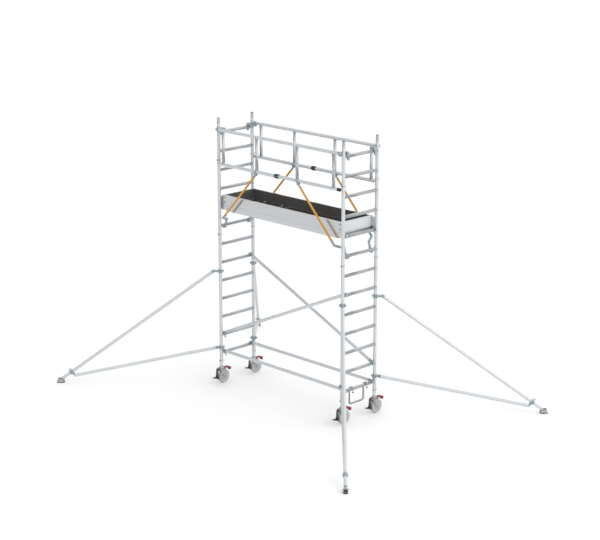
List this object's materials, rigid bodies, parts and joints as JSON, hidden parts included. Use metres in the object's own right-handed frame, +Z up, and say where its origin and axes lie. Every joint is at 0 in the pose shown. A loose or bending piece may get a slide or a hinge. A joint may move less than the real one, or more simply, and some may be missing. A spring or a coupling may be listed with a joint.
{
  "type": "mobile tower scaffold",
  "caption": "Mobile access tower: ladder frames on braked castors with outriggers, guarded hatch platform, toe boards, braces and a hung step.",
  "frame": {"origin": "on the ground, midway between the four uprights", "axes": "+X along the bay and the platform, +Y across the tower, +Z up"},
  "size_m": [6.0822, 4.2332, 4.0521],
  "materials": {
    "aluminium_tube": "satin, drawn tube",
    "platform_aluminium": "satin, extruded",
    "toe_board_end": "satin, extruded",
    "black_plastic": "moulded, matt",
    "clip_wire": "passivated wire",
    "castor_steel": "zinc plated pressing",
    "castor_red": "red coating",
    "castor_grey_plastic": "moulded, matt",
    "pedal_steel": "dark, rubber tipped",
    "deck_plywood": "film-faced plywood, fine anti-slip pattern",
    "galvanised_clamp": "zinc plated casting",
    "yellow_strut": "yellow coating, satin",
    "step_steel": "galvanised tube",
    "stabiliser_aluminium": "satin, drawn tube with zinc plated clamps",
    "foot_rubber": "ribbed rubber under a folded steel bracket"
  },
  "bodies": {
    "tower": {"lower_frame_left": "aluminium_tube", "lower_frame_right": "aluminium_tube", "middle_frame_left": "aluminium_tube", "middle_frame_right": "aluminium_tube", "top_frame_left": "aluminium_tube", "top_frame_right": "aluminium_tube", "spigots": "aluminium_tube", "guard_rail_front": "aluminium_tube", "guard_rail_back": "aluminium_tube", "horizontal_braces": "aluminium_tube", "diagonal_braces": "aluminium_tube", "platform_frame": "platform_aluminium", "platform_claws": "platform_aluminium", "toe_board_front": "platform_aluminium", "toe_board_back": "platform_aluminium", "toe_board_left": "toe_board_end", "toe_board_right": "toe_board_end", "spigot_caps": "black_plastic", "guard_rail_collars": "black_plastic", "locking_clips": "clip_wire", "castor_stems": "castor_steel", "castor_seals": "castor_red", "platform_deck": "deck_plywood", "hatch_hinges": "galvanised_clamp", "guard_rail_couplers": "galvanised_clamp", "strut_brackets": "galvanised_clamp", "brace_claws": "galvanised_clamp", "access_step": "step_steel"},
    "castor_front_left": {"castor_fork_front_left": "castor_steel"},
    "wheel_front_left": {"castor_wheel_front_left": "castor_grey_plastic"},
    "pedal_front_left": {"brake_pedal_front_left": "pedal_steel"},
    "lever_front_left": {"release_lever_front_left": "castor_red"},
    "castor_back_left": {"castor_fork_back_left": "castor_steel"},
    "wheel_back_left": {"castor_wheel_back_left": "castor_grey_plastic"},
    "pedal_back_left": {"brake_pedal_back_left": "pedal_steel"},
    "lever_back_left": {"release_lever_back_left": "castor_red"},
    "castor_front_right": {"castor_fork_front_right": "castor_steel"},
    "wheel_front_right": {"castor_wheel_front_right": "castor_grey_plastic"},
    "pedal_front_right": {"brake_pedal_front_right": "pedal_steel"},
    "lever_front_right": {"release_lever_front_right": "castor_red"},
    "castor_back_right": {"castor_fork_back_right": "castor_steel"},
    "wheel_back_right": {"castor_wheel_back_right": "castor_grey_plastic"},
    "pedal_back_right": {"brake_pedal_back_right": "pedal_steel"},
    "lever_back_right": {"release_lever_back_right": "castor_red"},
    "strut_front_left": {"strut_front_left": "yellow_strut"},
    "strut_back_left": {"strut_back_left": "yellow_strut"},
    "strut_front_right": {"strut_front_right": "yellow_strut"},
    "strut_back_right": {"strut_back_right": "yellow_strut"},
    "stabiliser_front_left": {"stabiliser_front_left": "stabiliser_aluminium"},
    "foot_front_left": {"stabiliser_foot_front_left": "foot_rubber"},
    "stabiliser_back_left": {"stabiliser_back_left": "stabiliser_aluminium"},
    "foot_back_left": {"stabiliser_foot_back_left": "foot_rubber"},
    "stabiliser_front_right": {"stabiliser_front_right": "stabiliser_aluminium"},
    "foot_front_right": {"stabiliser_foot_front_right": "foot_rubber"},
    "stabiliser_back_right": {"stabiliser_back_right": "stabiliser_aluminium"},
    "foot_back_right": {"stabiliser_foot_back_right": "foot_rubber"},
    "hatch": {"hatch_lid": "deck_plywood"},
    "latch": {"hatch_latch": "galvanised_clamp"},
    "wind_lock_left": {"wind_lock_left": "galvanised_clamp"},
    "wind_lock_right": {"wind_lock_right": "galvanised_clamp"}
  },
  "joints": [
    {"name": "castor_swivel_front_left", "type": "hinge", "parent": "tower", "child": "castor_front_left", "pos_m": [-1.2585, -0.334, 0.216], "axis": [0, 0, 1], "continuous": true},
    {"name": "wheel_spin_front_left", "type": "hinge", "parent": "castor_front_left", "child": "wheel_front_left", "pos_m": [-1.2585, -0.294, 0.1], "axis": [1, 0, 0], "continuous": true},
    {"name": "brake_pedal_front_left", "type": "hinge", "parent": "castor_front_left", "child": "pedal_front_left", "pos_m": [-1.2585, -0.426, 0.118], "axis": [1, 0, 0], "range_deg": [0, 10]},
    {"name": "release_lever_front_left", "type": "hinge", "parent": "castor_front_left", "child": "lever_front_left", "pos_m": [-1.2585, -0.259, 0.227], "axis": [1, 0, 0], "range_deg": [0, 10]},
    {"name": "castor_swivel_back_left", "type": "hinge", "parent": "tower", "child": "castor_back_left", "pos_m": [-1.2585, 0.334, 0.216], "axis": [0, 0, 1], "continuous": true},
    {"name": "wheel_spin_back_left", "type": "hinge", "parent": "castor_back_left", "child": "wheel_back_left", "pos_m": [-1.2585, 0.374, 0.1], "axis": [1, 0, 0], "continuous": true},
    {"name": "brake_pedal_back_left", "type": "hinge", "parent": "castor_back_left", "child": "pedal_back_left", "pos_m": [-1.2585, 0.242, 0.118], "axis": [1, 0, 0], "range_deg": [0, 10]},
    {"name": "release_lever_back_left", "type": "hinge", "parent": "castor_back_left", "child": "lever_back_left", "pos_m": [-1.2585, 0.409, 0.227], "axis": [1, 0, 0], "range_deg": [0, 10]},
    {"name": "castor_swivel_front_right", "type": "hinge", "parent": "tower", "child": "castor_front_right", "pos_m": [1.2585, -0.334, 0.216], "axis": [0, 0, 1], "continuous": true},
    {"name": "wheel_spin_front_right", "type": "hinge", "parent": "castor_front_right", "child": "wheel_front_right", "pos_m": [1.2585, -0.294, 0.1], "axis": [1, 0, 0], "continuous": true},
    {"name": "brake_pedal_front_right", "type": "hinge", "parent": "castor_front_right", "child": "pedal_front_right", "pos_m": [1.2585, -0.426, 0.118], "axis": [1, 0, 0], "range_deg": [0, 10]},
    {"name": "release_lever_front_right", "type": "hinge", "parent": "castor_front_right", "child": "lever_front_right", "pos_m": [1.2585, -0.259, 0.227], "axis": [1, 0, 0], "range_deg": [0, 10]},
    {"name": "castor_swivel_back_right", "type": "hinge", "parent": "tower", "child": "castor_back_right", "pos_m": [1.2585, 0.334, 0.216], "axis": [0, 0, 1], "continuous": true},
    {"name": "wheel_spin_back_right", "type": "hinge", "parent": "castor_back_right", "child": "wheel_back_right", "pos_m": [1.2585, 0.374, 0.1], "axis": [1, 0, 0], "continuous": true},
    {"name": "brake_pedal_back_right", "type": "hinge", "parent": "castor_back_right", "child": "pedal_back_right", "pos_m": [1.2585, 0.242, 0.118], "axis": [1, 0, 0], "range_deg": [0, 10]},
    {"name": "release_lever_back_right", "type": "hinge", "parent": "castor_back_right", "child": "lever_back_right", "pos_m": [1.2585, 0.409, 0.227], "axis": [1, 0, 0], "range_deg": [0, 10]},
    {"name": "strut_pivot_front_left", "type": "hinge", "parent": "tower", "child": "strut_front_left", "pos_m": [-0.43, -0.377, 3.34], "axis": [0, -1, 0], "range_deg": [0, 40]},
    {"name": "strut_pivot_back_left", "type": "hinge", "parent": "tower", "child": "strut_back_left", "pos_m": [-0.43, 0.377, 3.34], "axis": [0, -1, 0], "range_deg": [0, 40]},
    {"name": "strut_pivot_front_right", "type": "hinge", "parent": "tower", "child": "strut_front_right", "pos_m": [0.43, -0.377, 3.34], "axis": [0, 1, 0], "range_deg": [0, 40]},
    {"name": "strut_pivot_back_right", "type": "hinge", "parent": "tower", "child": "strut_back_right", "pos_m": [0.43, 0.377, 3.34], "axis": [0, 1, 0], "range_deg": [0, 40]},
    {"name": "stabiliser_swing_front_left", "type": "hinge", "parent": "tower", "child": "stabiliser_front_left", "pos_m": [-1.2585, -0.334, 0.56], "axis": [0, 0, 1], "range_deg": [-30, 30]},
    {"name": "foot_tilt_front_left", "type": "hinge", "parent": "stabiliser_front_left", "child": "foot_front_left", "pos_m": [-2.98101, -2.05651, 0.042], "axis": [0.7071, -0.7071, 0], "range_deg": [-15, 15]},
    {"name": "stabiliser_swing_back_left", "type": "hinge", "parent": "tower", "child": "stabiliser_back_left", "pos_m": [-1.2585, 0.334, 0.56], "axis": [0, 0, 1], "range_deg": [-30, 30]},
    {"name": "foot_tilt_back_left", "type": "hinge", "parent": "stabiliser_back_left", "child": "foot_back_left", "pos_m": [-2.98101, 2.05651, 0.042], "axis": [-0.7071, -0.7071, 0], "range_deg": [-15, 15]},
    {"name": "stabiliser_swing_front_right", "type": "hinge", "parent": "tower", "child": "stabiliser_front_right", "pos_m": [1.2585, -0.334, 0.56], "axis": [0, 0, 1], "range_deg": [-30, 30]},
    {"name": "foot_tilt_front_right", "type": "hinge", "parent": "stabiliser_front_right", "child": "foot_front_right", "pos_m": [2.98101, -2.05651, 0.042], "axis": [0.7071, 0.7071, 0], "range_deg": [-15, 15]},
    {"name": "stabiliser_swing_back_right", "type": "hinge", "parent": "tower", "child": "stabiliser_back_right", "pos_m": [1.2585, 0.334, 0.56], "axis": [0, 0, 1], "range_deg": [-30, 30]},
    {"name": "foot_tilt_back_right", "type": "hinge", "parent": "stabiliser_back_right", "child": "foot_back_right", "pos_m": [2.98101, 2.05651, 0.042], "axis": [-0.7071, 0.7071, 0], "range_deg": [-15, 15]},
    {"name": "hatch_hinge", "type": "hinge", "parent": "tower", "child": "hatch", "pos_m": [-0.7, 0.239, 2.7735], "axis": [-1, 0, 0], "range_deg": [0, 95]},
    {"name": "hatch_latch_slide", "type": "slide", "parent": "hatch", "child": "latch", "axis": [0, -1, 0], "range_m": [0, 0.022]},
    {"name": "wind_lock_turn_left", "type": "hinge", "parent": "tower", "child": "wind_lock_left", "pos_m": [-1.2025, -0.284, 2.716], "axis": [0, -1, 0], "range_deg": [0, 60]},
    {"name": "wind_lock_turn_right", "type": "hinge", "parent": "tower", "child": "wind_lock_right", "pos_m": [1.2025, 0.284, 2.716], "axis": [0, 1, 0], "range_deg": [0, 60]}
  ],
  "couplings": [
    {"joint": "release_lever_front_left", "follows": "brake_pedal_front_left", "ratio": 1},
    {"joint": "release_lever_back_left", "follows": "brake_pedal_back_left", "ratio": 1},
    {"joint": "release_lever_front_right", "follows": "brake_pedal_front_right", "ratio": 1},
    {"joint": "release_lever_back_right", "follows": "brake_pedal_back_right", "ratio": 1}
  ]
}
